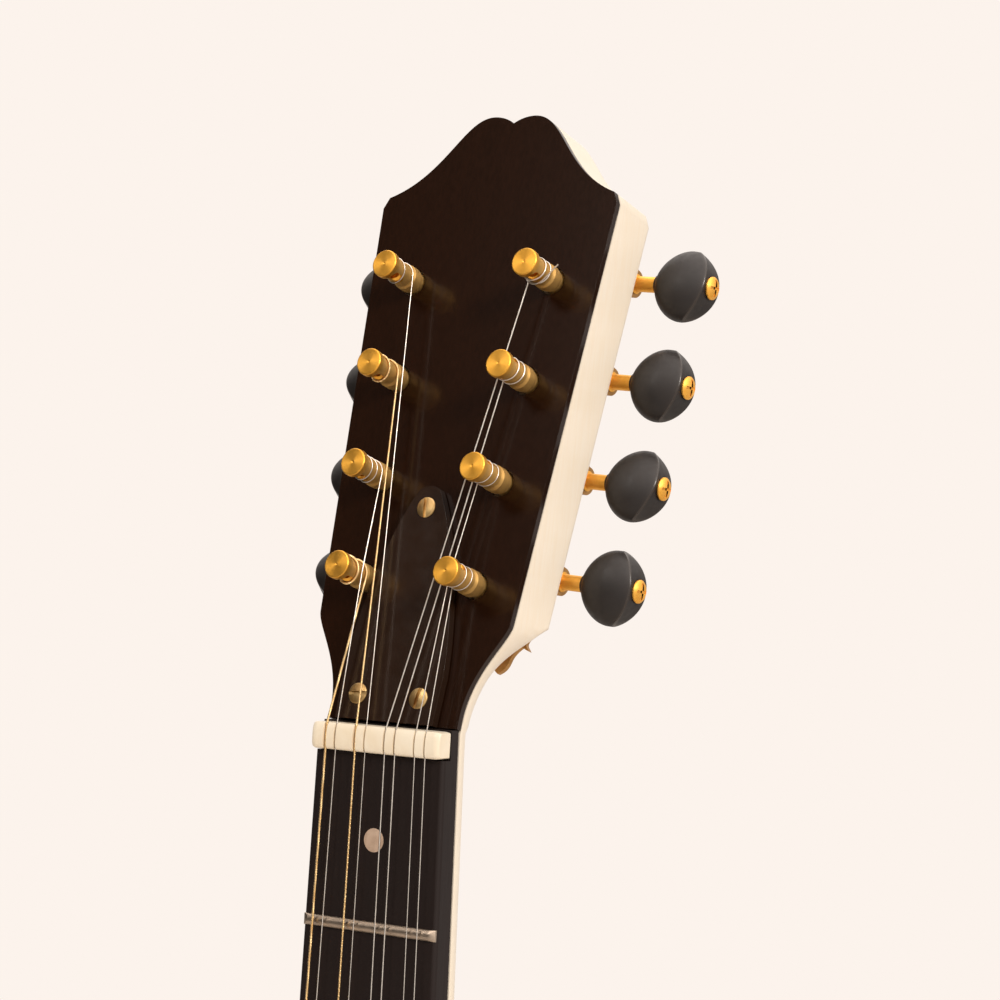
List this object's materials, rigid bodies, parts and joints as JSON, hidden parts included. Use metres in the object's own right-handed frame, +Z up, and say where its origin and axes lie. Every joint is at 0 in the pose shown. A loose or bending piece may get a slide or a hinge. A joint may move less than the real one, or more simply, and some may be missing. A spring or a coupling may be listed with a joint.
{
  "type": "long-necked lute",
  "caption": "Greek bouzouki with a dark-faced flat head, geared tuners in two rows, a long fretted neck and a stave-built bowl body.",
  "frame": {"origin": "middle of the nut, at its edge on the fretboard's face", "axes": "+X towards the treble side, +Y from the front of the instrument to its back, +Z up the neck to the head"},
  "size_m": [0.3, 0.1698, 0.9333],
  "materials": {
    "maple": "satin lacquer",
    "dark_veneer": "gloss lacquer",
    "cover_plastic": "polished black",
    "rod_steel": "plain steel",
    "bone": null,
    "ebony_board": "oiled, with pressed-in frets",
    "staves": "gloss lacquer",
    "inner_wood": "bare",
    "spruce": "satin lacquer",
    "dark_binding": "gloss lacquer",
    "guard_plastic": "polished dark brown",
    "rosewood": "oiled",
    "tailpiece_metal": "nickel plated",
    "ebony_turned": "polished",
    "gold_brass": "gold coloured, brushed",
    "gear_brass": "cut brass",
    "knob_black": "satin black",
    "wound_bronze": "bronze wound",
    "plain_steel": "plain steel wire"
  },
  "bodies": {
    "instrument": {"neck": "maple", "head_overlay": "dark_veneer", "truss_rod_cover": "cover_plastic", "truss_rod": "rod_steel", "nut": "bone", "fretboard": "ebony_board", "bowl": "staves", "neck_block": "inner_wood", "tail_block": "inner_wood", "soundboard": "spruce", "brace_upper": "inner_wood", "brace_lower": "inner_wood", "edge_binding": "dark_binding", "pickguard": "guard_plastic", "bridge": "rosewood", "saddle": "bone", "tailpiece": "tailpiece_metal", "strap_button": "ebony_turned", "tuner_plate_bass": "gold_brass", "tuner_plate_treble": "gold_brass", "string_course_4_a": "wound_bronze", "string_course_4_b": "plain_steel", "string_course_3_a": "wound_bronze", "string_course_3_b": "plain_steel", "string_course_2_a": "plain_steel", "string_course_2_b": "plain_steel", "string_course_1_a": "plain_steel", "string_course_1_b": "plain_steel"},
    "key_bass_1": {"worm_shaft_bass_1": "gold_brass", "knob_bass_1": "knob_black"},
    "post_bass_1": {"string_post_bass_1": "gold_brass", "worm_gear_bass_1": "gear_brass"},
    "key_bass_2": {"worm_shaft_bass_2": "gold_brass", "knob_bass_2": "knob_black"},
    "post_bass_2": {"string_post_bass_2": "gold_brass", "worm_gear_bass_2": "gear_brass"},
    "key_bass_3": {"worm_shaft_bass_3": "gold_brass", "knob_bass_3": "knob_black"},
    "post_bass_3": {"string_post_bass_3": "gold_brass", "worm_gear_bass_3": "gear_brass"},
    "key_bass_4": {"worm_shaft_bass_4": "gold_brass", "knob_bass_4": "knob_black"},
    "post_bass_4": {"string_post_bass_4": "gold_brass", "worm_gear_bass_4": "gear_brass"},
    "key_treble_1": {"worm_shaft_treble_1": "gold_brass", "knob_treble_1": "knob_black"},
    "post_treble_1": {"string_post_treble_1": "gold_brass", "worm_gear_treble_1": "gear_brass"},
    "key_treble_2": {"worm_shaft_treble_2": "gold_brass", "knob_treble_2": "knob_black"},
    "post_treble_2": {"string_post_treble_2": "gold_brass", "worm_gear_treble_2": "gear_brass"},
    "key_treble_3": {"worm_shaft_treble_3": "gold_brass", "knob_treble_3": "knob_black"},
    "post_treble_3": {"string_post_treble_3": "gold_brass", "worm_gear_treble_3": "gear_brass"},
    "key_treble_4": {"worm_shaft_treble_4": "gold_brass", "knob_treble_4": "knob_black"},
    "post_treble_4": {"string_post_treble_4": "gold_brass", "worm_gear_treble_4": "gear_brass"}
  },
  "joints": [
    {"name": "key_bass_1_turn", "type": "hinge", "parent": "instrument", "child": "key_bass_1", "pos_m": [-0.01498, 0.03465, 0.03981], "axis": [-0.9981, -0.0152, -0.0595], "continuous": true},
    {"name": "post_bass_1_turn", "type": "hinge", "parent": "instrument", "child": "post_bass_1", "pos_m": [-0.0145, 0.01219, 0.03751], "axis": [0, -0.969, 0.247], "continuous": true},
    {"name": "key_bass_2_turn", "type": "hinge", "parent": "instrument", "child": "key_bass_2", "pos_m": [-0.01643, 0.04048, 0.06267], "axis": [-0.9981, -0.0152, -0.0595], "continuous": true},
    {"name": "post_bass_2_turn", "type": "hinge", "parent": "instrument", "child": "post_bass_2", "pos_m": [-0.01595, 0.01801, 0.06036], "axis": [0, -0.969, 0.247], "continuous": true},
    {"name": "key_bass_3_turn", "type": "hinge", "parent": "instrument", "child": "key_bass_3", "pos_m": [-0.01788, 0.04631, 0.08552], "axis": [-0.9981, -0.0152, -0.0595], "continuous": true},
    {"name": "post_bass_3_turn", "type": "hinge", "parent": "instrument", "child": "post_bass_3", "pos_m": [-0.0174, 0.02384, 0.08321], "axis": [0, -0.969, 0.247], "continuous": true},
    {"name": "key_bass_4_turn", "type": "hinge", "parent": "instrument", "child": "key_bass_4", "pos_m": [-0.01933, 0.05213, 0.10838], "axis": [-0.9981, -0.0152, -0.0595], "continuous": true},
    {"name": "post_bass_4_turn", "type": "hinge", "parent": "instrument", "child": "post_bass_4", "pos_m": [-0.01885, 0.02967, 0.10607], "axis": [0, -0.969, 0.247], "continuous": true},
    {"name": "key_treble_1_turn", "type": "hinge", "parent": "instrument", "child": "key_treble_1", "pos_m": [0.01498, 0.03465, 0.03981], "axis": [0.9981, -0.0152, -0.0595], "continuous": true},
    {"name": "post_treble_1_turn", "type": "hinge", "parent": "instrument", "child": "post_treble_1", "pos_m": [0.0145, 0.01219, 0.03751], "axis": [0, -0.969, 0.247], "continuous": true},
    {"name": "key_treble_2_turn", "type": "hinge", "parent": "instrument", "child": "key_treble_2", "pos_m": [0.01643, 0.04048, 0.06267], "axis": [0.9981, -0.0152, -0.0595], "continuous": true},
    {"name": "post_treble_2_turn", "type": "hinge", "parent": "instrument", "child": "post_treble_2", "pos_m": [0.01595, 0.01801, 0.06036], "axis": [0, -0.969, 0.247], "continuous": true},
    {"name": "key_treble_3_turn", "type": "hinge", "parent": "instrument", "child": "key_treble_3", "pos_m": [0.01788, 0.04631, 0.08552], "axis": [0.9981, -0.0152, -0.0595], "continuous": true},
    {"name": "post_treble_3_turn", "type": "hinge", "parent": "instrument", "child": "post_treble_3", "pos_m": [0.0174, 0.02384, 0.08321], "axis": [0, -0.969, 0.247], "continuous": true},
    {"name": "key_treble_4_turn", "type": "hinge", "parent": "instrument", "child": "key_treble_4", "pos_m": [0.01933, 0.05213, 0.10838], "axis": [0.9981, -0.0152, -0.0595], "continuous": true},
    {"name": "post_treble_4_turn", "type": "hinge", "parent": "instrument", "child": "post_treble_4", "pos_m": [0.01885, 0.02967, 0.10607], "axis": [0, -0.969, 0.247], "continuous": true}
  ],
  "couplings": [
    {"joint": "post_bass_1_turn", "follows": "key_bass_1_turn", "ratio": 0.071429},
    {"joint": "post_bass_2_turn", "follows": "key_bass_2_turn", "ratio": 0.071429},
    {"joint": "post_bass_3_turn", "follows": "key_bass_3_turn", "ratio": 0.071429},
    {"joint": "post_bass_4_turn", "follows": "key_bass_4_turn", "ratio": 0.071429},
    {"joint": "post_treble_1_turn", "follows": "key_treble_1_turn", "ratio": 0.071429},
    {"joint": "post_treble_2_turn", "follows": "key_treble_2_turn", "ratio": 0.071429},
    {"joint": "post_treble_3_turn", "follows": "key_treble_3_turn", "ratio": 0.071429},
    {"joint": "post_treble_4_turn", "follows": "key_treble_4_turn", "ratio": 0.071429}
  ]
}
